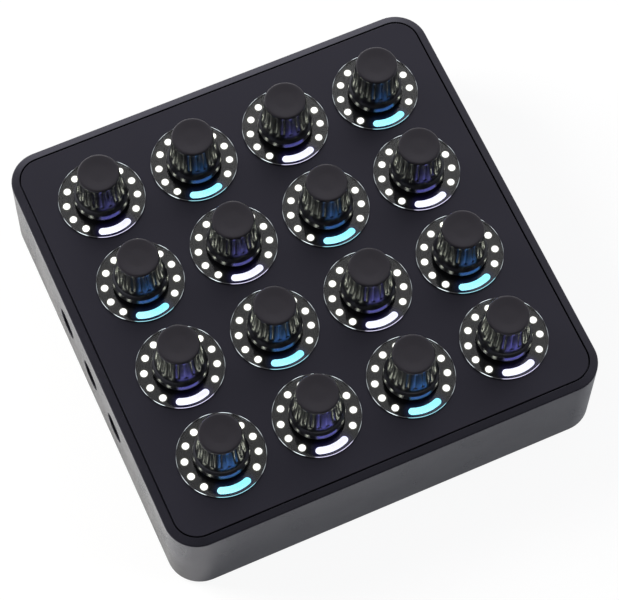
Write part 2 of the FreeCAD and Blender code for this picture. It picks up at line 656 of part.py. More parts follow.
insert = doc.addObject("PartDesign::Body", "usb_insert")
insert_outline = new_sketch(insert, "insert_outline", "XZ_Plane", INSERT_FRONT)
rectangle(insert_outline, MOUTH_WIDTH, MOUTH_HEIGHT, middle_y=SOCKET_LEVEL)
pad(insert, "insert_block", insert_outline, "Sizes.socket_length - Sizes.socket_mouth_depth")
bevel_upper_corners(insert, "insert_bevel", mouth_half)
tongue_outline = new_sketch(insert, "tongue_outline", "XZ_Plane", INSERT_FRONT + " - Sizes.tongue_length")
rectangle(tongue_outline, "Sizes.tongue_width", "Sizes.tongue_height", middle_y=SOCKET_LEVEL)
pad(insert, "tongue", tongue_outline, "Sizes.tongue_length")
finish_node(insert, "usb_insert")

# Chips and the header that joins the two boards
finish_node(block("controller_chip", "Sizes.chip_width", "Sizes.chip_width", "Sizes.chip_height",
                  y="Sizes.chip_offset", z="Sizes.main_board_bottom - Sizes.chip_height"), "controller_chip")
driver = block("led_driver", "Sizes.driver_width", "Sizes.driver_length", "Sizes.driver_height",
               z=MAIN_BOARD_TOP)
drivers = []
for index, (x, y) in enumerate((("Sizes.encoder_pitch", "0"), ("-Sizes.encoder_pitch", "0"),
                                ("0", "Sizes.encoder_pitch"), ("0", "-Sizes.encoder_pitch")), start=1):
    copy = group("led_driver_%d" % index, [driver])
    place(copy, x, y)
    drivers.append(copy)
finish_node(group("driver_group", drivers), "led_drivers")
finish_node(block("board_header", "Sizes.header_length", "Sizes.header_width",
                  "Sizes.led_board_bottom - " + MAIN_BOARD_TOP, z=MAIN_BOARD_TOP), "board_header")

doc.recompute()
for item in doc.Objects:
    if "Invalid" in item.State or "Error" in item.State:
        raise RuntimeError("the object %s did not build: %s" % (item.Name, item.State))
for label, item in nodes.items():
    if item.Shape.isNull() or not item.Shape.isValid():
        raise RuntimeError("the sub-part %s has no valid shape" % label)

os.makedirs("parts", exist_ok=True)
for label, item in nodes.items():
    solids = item.Shape.Solids
    shape = solids[0] if len(solids) == 1 else Part.makeCompound(solids)
    shape.exportStep("parts/%s.step" % label)
print(len(nodes), "sub-parts")
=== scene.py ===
import math

import bmesh
import bpy
import numpy as np
from mathutils import Matrix, Vector


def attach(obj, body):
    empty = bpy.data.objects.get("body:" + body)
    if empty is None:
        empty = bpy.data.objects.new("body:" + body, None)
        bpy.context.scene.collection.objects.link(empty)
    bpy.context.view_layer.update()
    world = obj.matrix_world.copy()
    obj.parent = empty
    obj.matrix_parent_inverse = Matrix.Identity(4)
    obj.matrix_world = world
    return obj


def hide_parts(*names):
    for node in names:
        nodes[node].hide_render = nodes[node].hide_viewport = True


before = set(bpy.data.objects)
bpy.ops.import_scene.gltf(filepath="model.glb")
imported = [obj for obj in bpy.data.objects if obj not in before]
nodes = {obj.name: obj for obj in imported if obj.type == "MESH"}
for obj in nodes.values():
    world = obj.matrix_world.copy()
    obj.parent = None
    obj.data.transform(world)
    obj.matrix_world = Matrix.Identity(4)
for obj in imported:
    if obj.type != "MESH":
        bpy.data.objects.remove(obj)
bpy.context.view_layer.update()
mm = 0.001


# Case shell: a square box in one piece with four walls, a sloping rim and a ledge for the face plate.
# It is dark anodised metal, machined and bead blasted, with six round button holes in its sides
# and one square hole at the back for the socket.

class Reading:
    """A number on a shader socket. Sums written with it become Math nodes in the same finish."""

    def __init__(self, finish, socket):
        self.finish, self.socket = finish, socket

    def _math(self, operation, *values):
        made = self.finish.node("Math", {"operation": operation}, dict(enumerate(values)))
        return Reading(self.finish, made.outputs[0])

    def __add__(self, other):
        return self._math("ADD", self, other)

    def __sub__(self, other):
        return self._math("SUBTRACT", self, other)

    def __rsub__(self, other):
        return self._math("SUBTRACT", other, self)

    def __mul__(self, other):
        return self._math("MULTIPLY", self, other)

    def __truediv__(self, other):
        return self._math("DIVIDE", self, other)

    def __pow__(self, other):
        return self._math("POWER", self, other)

    def of(self, operation, *others):
        """Any other Math operation on this reading, such as SINE, or MINIMUM with another value."""
        return self._math(operation, self, *others)

    def eased(self, low, high, at_low=0.0, at_high=1.0):
        """Turns a reading from low to high into one from at_low to at_high, with a soft start and end."""
        settings = {"interpolation_type": "SMOOTHSTEP"}
        made = self.finish.node("MapRange", settings, {0: self, 1: low, 2: high, 3: at_low, 4: at_high})
        return Reading(self.finish, made.outputs[0])

    __radd__ = __add__
    __rmul__ = __mul__


class Finish:
    """A material for one kind of surface: a Principled shader and the nodes that vary it."""

    def __init__(self, name, colour, roughness, metallic=0.0, specular=0.5, sheen_tint=(1, 1, 1)):
        self.material = bpy.data.materials.new(name)
        self.material.use_nodes = True
        self.tree = self.material.node_tree
        self.shader = self.tree.nodes["Principled BSDF"]
        self.output = self.tree.nodes["Material Output"]
        self.colour, self.roughness = colour, roughness
        self.shader.inputs["Base Color"].default_value = (*colour, 1)
        self.shader.inputs["Roughness"].default_value = roughness
        self.shader.inputs["Metallic"].default_value = metallic
        self.shader.inputs["Specular IOR Level"].default_value = specular
        self.shader.inputs["Specular Tint"].default_value = (*sheen_tint, 1)

    def join(self, value, socket):
        """Sets a socket to a plain value, or links it to a reading or to another node's socket."""
        source = value.socket if isinstance(value, Reading) else value
        if isinstance(source, bpy.types.NodeSocket):
            self.tree.links.new(source, socket)
        else:
            socket.default_value = source

    def node(self, kind, settings=None, values=None):
        """Adds a node, gives it its settings, and then the values or links of its sockets."""
        made = self.tree.nodes.new("ShaderNode" + kind)
        for key, value in (settings or {}).items():
            if key == "stops":
                ramp = made.color_ramp.elements
                while len(ramp) < len(value):
                    ramp.new(0.5)
                for stop, (position, shade) in zip(ramp, value):
                    stop.position, stop.color = position, shade
            else:
                setattr(made, key, value)
        for key, value in (values or {}).items():
            self.join(value, made.inputs[key])
        return made

    def place(self):
        """Object coordinates, in metres."""
        return self.node("TexCoord").outputs["Object"]

    def split(self, vector):
        """The three numbers of a vector."""
        return [Reading(self, out) for out in self.node("SeparateXYZ", None, {0: vector}).outputs]

    def noise(self, per_metre, detail=2.0):
        """Cloudy noise from 0 to 1 with this many cells in a metre, and finer layers up to the detail."""
        values = {"Vector": self.place(), "Scale": per_metre, "Detail": detail}
        return Reading(self, self.node("TexNoise", None, values).outputs["Fac"])

    def mix(self, share, first, second):
        """Colour between two, by a reading from 0 to 1."""
        made = self.node("Mix", {"data_type": "RGBA"}, {"Factor": share})
        for socket, value in ((made.inputs[6], first), (made.inputs[7], second)):
            self.join((*value, 1) if isinstance(value, tuple) else value, socket)
        return made.outputs[2]

    def vary(self, colour_spread, roughness_spread, per_metre):
        """Broad clouds that make the colour and the gloss a little uneven, as on a handled surface.
        The pale parts get a touch of grey too, so that a near black finish also varies."""
        clouds = self.noise(per_metre, 4.0)
        grey = 0.0015 * colour_spread
        pale = tuple(min(1.0, shade * (1 + colour_spread) + grey) for shade in self.colour)
        dark = tuple(shade * (1 - colour_spread) for shade in self.colour)
        self.join(self.mix(clouds.eased(0.3, 0.7), dark, pale), self.shader.inputs["Base Color"])
        smoothest, roughest = self.roughness - roughness_spread, self.roughness + roughness_spread
        self.join(clouds.eased(0.3, 0.7, smoothest, roughest), self.shader.inputs["Roughness"])

    def bump(self, height, depth):
        """Raises the surface by a reading from 0 to 1 times a depth in metres."""
        made = self.node("Bump", None, {"Height": height, "Distance": depth})
        self.join(made.outputs[0], self.shader.inputs["Normal"])

    def glow(self, colour, strength):
        """Light that the surface sends out: a colour that may vary, times a strength."""
        self.join(colour, self.shader.inputs["Emission Color"])
        self.shader.inputs["Emission Strength"].default_value = strength

    def blend(self, share, first, second):
        """Two shader nodes in one, with a share from 0 to 1 of the second."""
        return self.node("MixShader", None, {0: share, 1: first.outputs[0], 2: second.outputs[0]})

    def show(self, shader):
        """Shows a shader node in place of the plain one."""
        self.join(shader.outputs[0], self.output.inputs[0])


def eased_corners(corners, radii, steps=6):
    """Outline through the corner points, in millimetres, where a corner with a radius becomes an arc.
    The arc touches both sides at the radius times the tangent of half the turn from the corner, and
    its points swing at even steps from one touching point to the other about its centre."""
    outline = []
    for index, (corner, radius) in enumerate(zip(corners, radii)):
        here = np.array(corner, float)
        if not radius:
            outline.append(here[None])
            continue
        before = np.array(corners[index - 1], float) - here
        after = np.array(corners[(index + 1) % len(corners)], float) - here
        before, after = before / np.linalg.norm(before), after / np.linalg.norm(after)
        half_inside = math.acos(np.clip(before @ after, -1, 1)) / 2
        bisector = (before + after) / np.linalg.norm(before + after)
        centre = here + bisector * radius / math.sin(half_inside)
        first = here + before * radius / math.tan(half_inside) - centre
        last = here + after * radius / math.tan(half_inside) - centre
        share = np.linspace(0, 1, steps + 1)[:, None]
        swing = math.pi - 2 * half_inside
        arc = (np.sin((1 - share) * swing) * first + np.sin(share * swing) * last) / math.sin(swing)
        outline.append(centre + arc)
    return np.concatenate(outline)


def closed(outline):
    """The outline with its first point once more at its end."""
    return np.concatenate([outline, outline[:1]])


def carried_round_square(profile, half, corner, steps=14):
    """Rows of points: each profile point, an inset and a level, goes once round a rounded square.
    Its corners are quarter circles about one centre, of the corner radius less the inset."""
    turn = np.radians(np.concatenate([90.0 * q + np.linspace(0, 90, steps + 1) for q in range(4)]))
    side = np.repeat(np.array([(1, 1), (-1, 1), (-1, -1), (1, -1)]), steps + 1, axis=0)
    inset, level = profile[:, :1], profile[:, 1:]
    out = np.maximum(half - inset, 0.0)
    radius = np.minimum(np.maximum(corner - inset, 0.0), out)
    middle = out - radius
    x = middle * side[:, 0] + radius * np.cos(turn)
    y = middle * side[:, 1] + radius * np.sin(turn)
    return np.stack([x, y, level + 0 * x], axis=2) * mm


CREASE = 35


def skin(name, *sheets, sharp=CREASE):
    """Mesh over sheets of points. A sheet is rows by columns and wraps round along its columns.
    Rows that meet, and rows that shrink to a point, are welded, so each skin is closed.
    A sheet may come with the number of its finish, which is otherwise the first."""
    points, corners, kinds, used = [], [], [], 0
    for sheet in sheets:
        grid, kind = sheet if isinstance(sheet, tuple) else (sheet, 0)
        rows, columns = grid.shape[:2]
        row, column = np.meshgrid(np.arange(rows - 1), np.arange(columns), indexing="ij")
        ahead = (column + 1) % columns
        quad = np.stack([row * columns + column, row * columns + ahead,
                         (row + 1) * columns + ahead, (row + 1) * columns + column], axis=2)
        points.append(grid.reshape(-1, 3))
        corners.append(quad.reshape(-1, 4) + used)
        kinds.append(np.full((rows - 1) * columns, kind))
        used += rows * columns
    points, corners, kinds = np.concatenate(points), np.concatenate(corners), np.concatenate(kinds)
    mesh = bpy.data.meshes.new(name)
    mesh.vertices.add(len(points))
    mesh.vertices.foreach_set("co", points.astype(np.float32).ravel())
    mesh.loops.add(corners.size)
    mesh.loops.foreach_set("vertex_index", corners.astype(np.int32).ravel())
    mesh.polygons.add(len(corners))
    mesh.polygons.foreach_set("loop_start", np.arange(0, corners.size, 4, dtype=np.int32))
    mesh.polygons.foreach_set("material_index", kinds.astype(np.int32))
    mesh.update(calc_edges=True)
    welded = bmesh.new()
    welded.from_mesh(mesh)
    bmesh.ops.remove_doubles(welded, verts=welded.verts, dist=0.002 * mm)
    bmesh.ops.recalc_face_normals(welded, faces=welded.faces)
    welded.to_mesh(mesh)
    welded.free()
    smooth(mesh, sharp)
    return mesh


def smooth(mesh, sharp=CREASE):
    """Smooth shading, with a crease at each edge that turns by more than the sharp angle, in degrees."""
    mesh.polygons.foreach_set("use_smooth", np.ones(len(mesh.polygons), bool))
    mesh.set_sharp_from_angle(angle=math.radians(sharp))
    mesh.update()


def piece(name, mesh, body, finishes, stands_for=()):
    """Puts a mesh into the scene as a piece of one body, with its finishes and the nodes it stands for."""
    made = bpy.data.objects.new(name, mesh)
    bpy.context.scene.collection.objects.link(made)
    for finish in finishes:
        made.data.materials.append(finish.material)
    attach(made, body)
    if stands_for:
        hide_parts(*stands_for)
    return made


def drilled(mesh, drills):
    """The mesh less its drills, which are closed meshes."""
    blank = bpy.data.objects.new("blank", mesh)
    drill = bpy.data.objects.new("drill", drills)
    for item in (blank, drill):
        bpy.context.scene.collection.objects.link(item)
    bore = blank.modifiers.new("bore", "BOOLEAN")
    bore.operation, bore.solver, bore.object = "DIFFERENCE", "EXACT", drill
    depsgraph = bpy.context.evaluated_depsgraph_get()
    made = bpy.data.meshes.new_from_object(blank.evaluated_get(depsgraph))
    for item in (blank, drill):
        bpy.data.objects.remove(item)
    smooth(made)
    return made


def keep_flats(item):
    """Lets the large flat faces of a piece keep their own normals beside its rounded edges."""
    weighted = item.modifiers.new("flats", "WEIGHTED_NORMAL")
    weighted.keep_sharp, weighted.mode = True, "FACE_AREA"


def turned(profile, sides, centre=(0.0, 0.0), wall=0):
    """Rows of points: a profile of radius and level, turned about an upright axis through a centre.
    With a wall, 1 for the right or -1 for the left, the axis points straight out of that wall."""
    turn = np.linspace(0, 2 * math.pi, sides, endpoint=False)
    radius, level = profile[:, :1], profile[:, 1:]
    first = radius * np.cos(turn) + centre[0]
    second = radius * np.sin(turn) + centre[1]
    along_axis = level + 0 * turn
    if wall:
        return np.stack([wall * along_axis, first, second], axis=2) * mm
    return np.stack([first, second, along_axis], axis=2) * mm


def rod(radius, low, high):
    """Profile of a rod: from its axis out at one end, along its side, and back in at the other end."""
    return np.array([(0, low), (radius, low), (radius, high), (0, high)])


CASE_HALF, CASE_CORNER = 81.85, 12.0
CASE_BOTTOM, CASE_TOP = 2.0, 39.5
WALL, RIM_RUN, RIM_DROP = 3.0, 2.82, 0.9
SEAT_INSET, LEDGE_INSET, LEDGE_THICKNESS = 3.02, 7.85, 2.0
PLATE_THICKNESS = 2.0
SIDE_HOLE_RADIUS, BUTTON_LEVEL, BUTTON_STEP = 5.75, 20.5, 22.0
SOCKET_HOLE_HALF_WIDTH, SOCKET_HOLE_HALF_HEIGHT, SOCKET_LEVEL = 6.3, 5.8, 19.5
BEHIND_WALL, BEYOND_WALL = 78.0, 85.0
HOLE_EDGE = 0.25

plate_seat = CASE_TOP - PLATE_THICKNESS
ledge_bottom = plate_seat - LEDGE_THICKNESS
wall_corners = [(0, CASE_BOTTOM), (0, CASE_TOP - RIM_DROP), (RIM_RUN, CASE_TOP), (SEAT_INSET, CASE_TOP),
                (SEAT_INSET, plate_seat), (LEDGE_INSET, plate_seat), (LEDGE_INSET, ledge_bottom),
                (WALL, ledge_bottom), (WALL, CASE_BOTTOM)]
wall_profile = closed(eased_corners(wall_corners, [0.35, 0.65, 0, 0.12, 0, 0.1, 0, 0, 0.2]))
blank_shell = skin("case_shell_walls", carried_round_square(wall_profile, CASE_HALF, CASE_CORNER))

side_drill = rod(SIDE_HOLE_RADIUS, BEYOND_WALL, BEHIND_WALL)
side_drills = [turned(side_drill, 64, (step * BUTTON_STEP, BUTTON_LEVEL), wall)
               for wall in (1, -1) for step in (-1, 0, 1)]
open_share = np.array([[0], [1], [1], [0]])
socket_depth = np.array([[BEHIND_WALL - 1], [BEHIND_WALL - 1], [BEYOND_WALL], [BEYOND_WALL]])
right_or_left, top_or_bottom = np.array([1, -1, -1, 1]), np.array([1, 1, -1, -1])
socket_drill = np.stack([open_share * SOCKET_HOLE_HALF_WIDTH * right_or_left,
                         socket_depth + 0 * right_or_left,
                         SOCKET_LEVEL + open_share * SOCKET_HOLE_HALF_HEIGHT * top_or_bottom], axis=2) * mm
bored_shell = drilled(blank_shell, skin("case_drills", *side_drills, socket_drill))

case_metal = Finish("case_anodised_metal", (0.0040, 0.0038, 0.0056), 0.25, specular=0.62,
                    sheen_tint=(0.80, 0.78, 1.0))
case_metal.vary(0.10, 0.03, 60)
case_metal.bump(case_metal.noise(9000, 1.0), 0.012 * mm)
shell = piece("case_shell_walls", bored_shell, "controller", [case_metal], ["case_shell"])
soft_edges = shell.modifiers.new("hole_edges", "BEVEL")
soft_edges.width, soft_edges.segments = HOLE_EDGE * mm, 3
soft_edges.limit_method, soft_edges.angle_limit = "ANGLE", math.radians(60)
keep_flats(shell)


# Face plate: a flat sheet let into the rim, with a hole for each encoder's collar.
# It is the same metal as the case with a finer, more matt blast. The encoders stand four by four.

PLATE_HALF, PLATE_CORNER = 78.36, 8.5
COLLAR_HOLE, PITCH = 4.7, 36.0
centres = [((column - 1.5) * PITCH, (row - 1.5) * PITCH) for row in range(4) for column in range(4)]

plate_corners = [(PLATE_HALF, CASE_TOP), (0, CASE_TOP), (0, plate_seat), (PLATE_HALF, plate_seat)]
plate_profile = eased_corners(plate_corners, [0, 0.22, 0, 0])
blank_plate = skin("face_plate", carried_round_square(plate_profile, PLATE_HALF, PLATE_CORNER))
collar_drill = rod(COLLAR_HOLE, plate_seat - 0.5, CASE_TOP + 0.5)
plate_drills = skin("plate_drills", *[turned(collar_drill, 32, centre) for centre in centres])
bored_plate = drilled(blank_plate, plate_drills)

plate_metal = Finish("face_plate_fine_blast", (0.0040, 0.0038, 0.0056), 0.42, specular=0.62,
                     sheen_tint=(0.79, 0.76, 1.0))
plate_metal.vary(0.08, 0.02, 35)
plate_metal.bump(plate_metal.noise(14000, 1.0), 0.006 * mm)
plate = piece("face_plate", bored_plate, "controller", [plate_metal], ["faceplate"])
keep_flats(plate)


# Ring windows: a clear acrylic disc round each encoder, laid on the face plate.
# Its back is printed black, with clear spots for eleven white lights and a curved bar for one
# coloured light. A painted glow along its rounded edge stands for light from the lamps that runs through
# the acrylic, with a painted highlight along one fixed direction of each ring. A faint painted glow
# round each light on the print stands for light that leaks through it.

WINDOW_RADIUS, WINDOW_THICKNESS = 15.7, 0.9
EDGE_START, EDGE_ROUND, INNER_ROUND = 15.53, 0.13, 0.1
PRINT_INSET, PRINT_THICKNESS, AIR_GAP = 0.05, 0.03, 0.01
LIGHT_RING, LIGHT_STEP, SPOT_RADIUS = 12.88, 26.22, 1.31
LAST_SPOT = 5
BAR_HALF_WIDTH, BAR_HALF_ANGLE = 1.32, 21.9
HALO_INSIDE, SPOT_HALO, BAR_HALO, BAR_SPILL = 0.15, 0.65, 0.45, 3.28
# The edge's painted glow goes from dark at the first to lit at the second of each of these: the distance
# from a spot, the distance from the bar, and the level from the top.
SPOT_LINE, BAR_LINE, RIM_LINE = (3.7, 2.8), (3.3, 2.7), (-0.16, -0.10)
# Turn in degrees of the fixed direction across each ring along which the edge's painted highlight is
# brightest.
HIGHLIGHT_TURN = 25
COOL_GLOW, PALE_GLOW = (0.06, 0.26, 1.0), (0.16, 0.12, 1.0)
COOL_EDGE, PALE_EDGE = (0.28, 0.62, 0.72), (0.65, 0.62, 0.85)
# Each ring sits a little askew, as it was stuck on: degrees clockwise, along the rows from the front left.
CLOCKING = (2.0, -1.4, 1.3, 0.7, 2.3, 1.9, 0.3, -0.8, 2.1, 0.0, 0.4, 0.6, -0.5, 2.2, 0.9, -0.2)

print_top = CASE_TOP + PRINT_THICKNESS
window_top = CASE_TOP + WINDOW_THICKNESS


def every_second(odd):
    """Numbers of the rings with one colour of bar, laid out as the fields of a draughts board."""
    return [index for index in range(16) if (index // 4 + index % 4) % 2 == odd]


def ring_map(mesh):
    """Maps the mesh by millimetres across its own ring, turned back by the ring's clocking.
    A point belongs to the ring whose column and row lie nearest, and is taken from that ring's middle."""
    layer = mesh.uv_layers.new(name="ring_map")
    at = np.empty(len(mesh.loops), np.int32)
    mesh.loops.foreach_get("vertex_index", at)
    place = np.empty(len(mesh.vertices) * 3, np.float32)
    mesh.vertices.foreach_get("co", place)
    place = place.reshape(-1, 3)[at, :2] / mm
    column = np.clip(np.round(place[:, 0] / PITCH + 1.5), 0, 3)
    row = np.clip(np.round(place[:, 1] / PITCH + 1.5), 0, 3)
    turn = np.radians(np.array(CLOCKING))[(row * 4 + column).astype(int)]
    x, y = place[:, 0] - (column - 1.5) * PITCH, place[:, 1] - (row - 1.5) * PITCH
    across = x * np.cos(turn) - y * np.sin(turn)
    along = x * np.sin(turn) + y * np.cos(turn)
    layer.data.foreach_set("uv", np.stack([across, along], axis=1).astype(np.float32).ravel())


def ring_readings(finish):
    """Readings of the ring map, in millimetres: across and along the ring from its middle, the distance from
    the middle of the nearest white spot, and the distance from the middle line of the coloured bar.
    The nearest spot is the angle over the step, rounded and held between the first and the last. The nearest
    point of the bar is the angle from the front, held between the bar's ends."""
    across, along, _ = finish.split(finish.node("UVMap", {"uv_map": "ring_map"}).outputs[0])
    clock = across.of("ARCTAN2", along) * (180 / math.pi)
    step = (clock / LIGHT_STEP).of("ROUND").of("MINIMUM", LAST_SPOT).of("MAXIMUM", -LAST_SPOT)
    nearest = step * math.radians(LIGHT_STEP)
    spot_across = across - nearest.of("SINE") * LIGHT_RING
    spot_along = along - nearest.of("COSINE") * LIGHT_RING
    limit = math.radians(BAR_HALF_ANGLE)
    held = across.of("ARCTAN2", along * -1.0).of("MINIMUM", limit).of("MAXIMUM", -limit)
    bar_across = across - held.of("SINE") * LIGHT_RING
    bar_along = along + held.of("COSINE") * LIGHT_RING
    from_spot = (spot_across ** 2.0 + spot_along ** 2.0) ** 0.5
    from_bar = (bar_across ** 2.0 + bar_along ** 2.0) ** 0.5
    return across, along, from_spot, from_bar


def print_finish(name, bar_glow):
    """Black print on the back of a window, with a faint painted glow round each light and spilling from the
    bar, standing for light that leaks through the print.
    """
    printed = Finish(name + "_printed_back", (0.003, 0.003, 0.0036), 0.35, specular=0.12)
    printed.vary(0.1, 0.03, 200)
    _, _, from_spot, from_bar = ring_readings(printed)
    halo = from_spot.eased(SPOT_RADIUS + SPOT_HALO, SPOT_RADIUS - HALO_INSIDE) ** 2.0
    near = from_bar.eased(BAR_HALF_WIDTH + BAR_HALO, BAR_HALF_WIDTH - HALO_INSIDE) ** 2.0
    spill = from_bar.eased(BAR_HALF_WIDTH + BAR_SPILL, BAR_HALF_WIDTH) ** 2.0
    # Painted glow: a halo round the spots, and a wide spill and a nearer glow round the bar.
    lit = printed.mix(halo, (0, 0, 0), (0.17, 0.175, 0.12))
    lit = printed.mix(spill * 0.024, lit, bar_glow)
    lit = printed.mix(near * 0.16, lit, bar_glow)
    printed.glow(lit, 1.0)
    return printed


def clear_finish(name):
    """Clear acrylic, the same from above and from below. By Schlick's rule it mirrors 4 percent straight on,
    and the rest grows with the fifth power of the tilt. A faint smear takes a little of the gloss away."""
    clear = Finish(name + "_clear_acrylic", (0.8, 0.8, 0.82), 0.03)
    see_through = clear.node("BsdfTransparent", None, {"Color": (0.97, 0.97, 0.98, 1)})
    gloss = clear.node("BsdfGlossy", None, {"Color": (1, 1, 1, 1), "Roughness": 0.02})
    tilt = Reading(clear, clear.node("LayerWeight", None, {"Blend": 0.5}).outputs["Facing"])
    mirrored = tilt ** 5.0 * 0.96 + 0.04
    smear = clear.noise(60, 2.0).eased(0.3, 0.7, 0.97, 1.0)
    clear.show(clear.blend(mirrored * smear, see_through, gloss))
    return clear


def edge_finish(name, edge_glow):
    """The window's rounded edge, with a painted glow in a narrow line beside each light, standing for light
    from the lamps that ran through the acrylic, and a faint painted glow all round its top. Beside the white
    spots the glow is also a painted highlight, brightest at the two ends of one fixed direction across the
    ring."""
    edge = Finish(name + "_lit_edge", (0.006, 0.006, 0.008), 0.14, specular=0.5)
    edge.vary(0.1, 0.03, 300)
    across, along, from_spot, from_bar = ring_readings(edge)
    out = (across ** 2.0 + along ** 2.0) ** 0.5
    _, _, height = edge.split(edge.place())
    highlight_axis = math.radians(HIGHLIGHT_TURN)
    # How near a point of the edge lies to that direction: the square of the cosine, which weights the
    # painted highlight.
    lengthways = ((across * math.sin(highlight_axis) + along * math.cos(highlight_axis)) / out) ** 2.0
    on_rim = height.eased(*[(window_top + level) * mm for level in RIM_LINE])
    near_bar = from_bar.eased(*BAR_LINE)
    near_spot = from_spot.eased(*SPOT_LINE) * (lengthways * 0.8 + 0.2)
    shine = edge.mix(near_spot, (0.035, 0.035, 0.037), (1.02, 1.14, 1.20))
    shine = edge.mix(near_bar, shine, edge_glow)
    edge.glow(edge.mix(on_rim, (0, 0, 0), shine), 1.5)
    return edge


window_low = print_top + AIR_GAP
window_corners = [(COLLAR_HOLE, window_low), (WINDOW_RADIUS, window_low), (WINDOW_RADIUS, window_top),
                  (EDGE_START, window_top), (COLLAR_HOLE, window_top)]
window_profile = closed(eased_corners(window_corners, [0, 0, EDGE_ROUND, 0, INNER_ROUND]))
print_radius = WINDOW_RADIUS - PRINT_INSET
print_profile = closed(np.array([(COLLAR_HOLE, CASE_TOP), (print_radius, CASE_TOP),
                                 (print_radius, print_top), (COLLAR_HOLE, print_top)]))
for name, bar_glow, edge_glow, odd, stands_for in (("cool", COOL_GLOW, COOL_EDGE, 0, ["ring_windows"]),
                                                   ("pale", PALE_GLOW, PALE_EDGE, 1, [])):
    own = [centres[index] for index in every_second(odd)]
    disc = skin("windows_" + name, *[turned(window_profile, 128, centre) for centre in own])
    middle = np.empty(len(disc.polygons) * 3, np.float32)
    disc.polygons.foreach_get("center", middle)
    from_corner = middle.reshape(-1, 3)[:, :2] / mm + 2 * PITCH
    from_ring = from_corner % PITCH - PITCH / 2
    on_edge = np.hypot(from_ring[:, 0], from_ring[:, 1]) > EDGE_START + 0.01
    disc.polygons.foreach_set("material_index", on_edge.astype(np.int32))
    ring_map(disc)
    clear_and_edge = [clear_finish("window_" + name), edge_finish("window_" + name, edge_glow)]
    keep_flats(piece("windows_" + name, disc, "controller", clear_and_edge, stands_for))
    printed = skin("window_print_" + name, *[turned(print_profile, 128, centre) for centre in own])
    ring_map(printed)
    keep_flats(piece("window_print_" + name, printed, "controller",
                     [print_finish("window_" + name, bar_glow)]))


# Lights: the clear spots and bars in the printed backs, eleven white spots and one bar to a ring.
# Each is a thin clear patch in the print, bright from the lamp on the board below it. The bars come
# in two colours that take turns.

LIGHT_SINK, LIGHT_RISE = 0.01, 0.006
SPOT_STRENGTH, BAR_STRENGTH = 9.6, 5.6
light_low, light_high = print_top - LIGHT_SINK, print_top + LIGHT_RISE


def lamp_finish(name, rim, heart, strength, shape, far, near):
    """A clear opening lit from below: it has its rim colour at its edge and its heart colour over the lamp.
    The share between them follows the distance from the middle of its shape, a spot or a bar."""
    lamp = Finish(name, (0.5, 0.5, 0.5), 0.3)
    _, _, from_spot, from_bar = ring_readings(lamp)
    distance = from_spot if shape == "spot" else from_bar
    cloud = lamp.noise(500, 2.0).eased(0.2, 0.8, 0.94, 1.0)
    rim, heart = [tuple(shade / strength for shade in colour) for colour in (rim, heart)]
    lamp.glow(lamp.mix(distance.eased(far, near) * cloud, rim, heart), strength)
    return lamp


def spot_sheets(centre, clock):
    """Rows of points for the white spots of one ring: small upright discs at equal steps round it."""
    turn = np.radians(np.arange(-LAST_SPOT, LAST_SPOT + 1) * LIGHT_STEP + clock)
    places = np.array(centre) + LIGHT_RING * np.stack([np.sin(turn), np.cos(turn)], axis=1)
    return [turned(rod(SPOT_RADIUS, light_high, light_low), 32, place) for place in places]


def bar_sheet(centre, clock):
    """Rows of points for one coloured bar: an arc of the light ring with round ends.
    Its outline runs out along the arc at the outer radius, round one end, back, and round the other, and
    its spine is the nearest point of the arc's middle line to each point of the outline."""
    limit = math.radians(BAR_HALF_ANGLE)
    side = np.linspace(-limit, limit, 15)
    round_end = np.linspace(0, math.pi, 9)[1:-1]
    past_end = limit + np.sin(round_end) * BAR_HALF_WIDTH / LIGHT_RING
    swing = np.concatenate([side, past_end, -side, -past_end])
    half_round = np.concatenate([np.ones(len(side)), np.cos(round_end)])
    radius = LIGHT_RING + BAR_HALF_WIDTH * np.concatenate([half_round, -half_round])
    front = math.radians(180 + clock)
    turn, held = swing + front, np.clip(swing, -limit, limit) + front
    outline = np.stack([radius * np.sin(turn), radius * np.cos(turn)], axis=1)
    spine = LIGHT_RING * np.stack([np.sin(held), np.cos(held)], axis=1)
    rows = [(spine, light_high), (outline, light_high), (outline, light_low), (spine, light_low)]
    return np.stack([np.insert(flat + np.array(centre), 2, level, axis=1) for flat, level in rows]) * mm


spots = skin("light_spots", *[sheet for placed in zip(centres, CLOCKING) for sheet in spot_sheets(*placed)])
ring_map(spots)
piece("light_spots", spots, "controller",
      [lamp_finish("spot_glow", (0.98, 0.98, 0.94), (9.0, 9.6, 7.0), SPOT_STRENGTH, "spot", 1.1, 0.25)])
for name, rim, heart, odd in (("cool", (0.19, 1.0, 1.1), (0.17, 1.2, 5.2), 0),
                              ("pale", (0.88, 0.90, 1.0), (0.82, 0.80, 5.6), 1)):
    own = [bar_sheet(centres[index], CLOCKING[index]) for index in every_second(odd)]
    bars = skin("light_bars_" + name, *own)
    ring_map(bars)
    piece("light_bars_" + name, bars, "controller",
          [lamp_finish(name + "_bar_glow", rim, heart, BAR_STRENGTH, "bar", 1.15, 0.3)])


# Knobs: a moulded black cap with a flared skirt, eighteen upright lobes and a smooth dished top, pressed
# on the encoder's steel shaft. The sides are glossy and the top is matt from handling.

